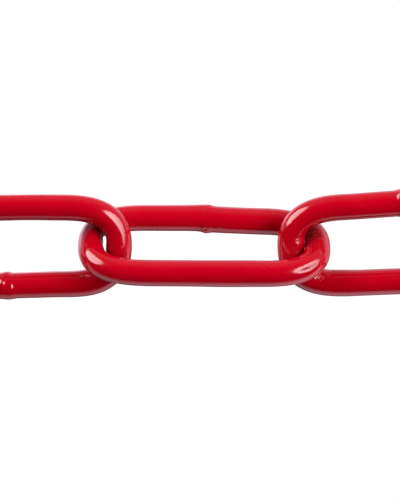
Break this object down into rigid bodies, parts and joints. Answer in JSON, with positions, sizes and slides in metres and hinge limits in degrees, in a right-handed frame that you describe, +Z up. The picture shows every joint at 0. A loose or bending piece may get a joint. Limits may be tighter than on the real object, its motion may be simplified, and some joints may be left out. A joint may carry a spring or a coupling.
{
  "type": "long link chain",
  "caption": "Straight length of welded long-link chain in round wire with glossy red paint; every link threads the next and swings on its crown.",
  "frame": {"origin": "on the surface that the chain lies on, under the middle of the box round the chain", "axes": "+X along the chain towards the right end link, +Y across it, +Z up from the surface it lies on"},
  "size_m": [0.1666, 0.0166, 0.0115],
  "materials": {
    "red_paint": "thick glossy red paint over steel"
  },
  "bodies": {
    "left_end_link": {"left_end_link": "red_paint"},
    "left_link": {"left_link": "red_paint"},
    "centre_link": {"centre_link": "red_paint"},
    "right_link": {"right_link": "red_paint"},
    "right_end_link": {"right_end_link": "red_paint"}
  },
  "joints": [
    {"name": "left_link_swing", "type": "hinge", "parent": "centre_link", "child": "left_link", "pos_m": [-0.01941, -0.0003, 0.00577], "axis": [-0.0009, -0.5336, 0.8457], "range_deg": [-90, 90]},
    {"name": "right_link_swing", "type": "hinge", "parent": "centre_link", "child": "right_link", "pos_m": [0.01929, -0.00104, 0.00577], "axis": [0.0205, -0.5332, 0.8457], "range_deg": [-90, 90]},
    {"name": "left_end_link_swing", "type": "hinge", "parent": "left_link", "child": "left_end_link", "pos_m": [-0.05099, -0.00051, 0.00577], "axis": [-0.0056, 0.5336, 0.8457], "range_deg": [-90, 90]},
    {"name": "right_end_link_swing", "type": "hinge", "parent": "right_link", "child": "right_end_link", "pos_m": [0.05103, 0.00062, 0.00577], "axis": [-0.0037, 0.5336, 0.8457], "range_deg": [-90, 90]}
  ]
}
